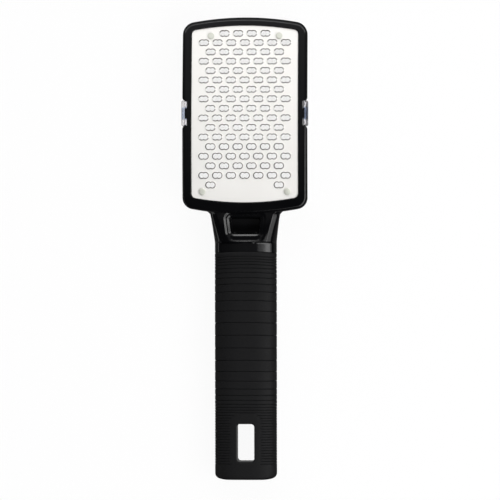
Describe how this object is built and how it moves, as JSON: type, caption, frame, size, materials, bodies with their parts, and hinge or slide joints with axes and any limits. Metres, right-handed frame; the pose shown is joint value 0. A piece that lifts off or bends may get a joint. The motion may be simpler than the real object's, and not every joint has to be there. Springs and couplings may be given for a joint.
{
  "type": "callus remover",
  "caption": "Foot file: an etched steel rasp on a crowned plastic head, with a clear catcher behind it, a ribbed soft grip and a hang hole.",
  "frame": {"origin": "on the table under the middle of the tool, which lies on its back", "axes": "+Z is the way the rasp's face looks, +Y runs from the grip to the head's end, +X goes across"},
  "size_m": [0.0702, 0.2574, 0.0248],
  "materials": {
    "black_plastic": "glossy moulded black",
    "soft_black": "matte, softly speckled",
    "rasp_steel": "satin, with bright etched edges",
    "rivet_metal": "satin",
    "clear_plastic": "clear, polished"
  },
  "bodies": {
    "tool": {"body": "black_plastic", "grip_sleeve": "soft_black", "rasp_plate": "rasp_steel", "plate_rivet_top_left": "rivet_metal", "plate_rivet_top_right": "rivet_metal", "plate_rivet_foot_left": "rivet_metal", "plate_rivet_foot_right": "rivet_metal"},
    "catcher": {"catcher": "clear_plastic"}
  },
  "joints": [
    {"name": "catcher_pull_off", "type": "slide", "parent": "tool", "child": "catcher", "axis": [0, 0, -1], "range_m": [0, 0.035]}
  ]
}
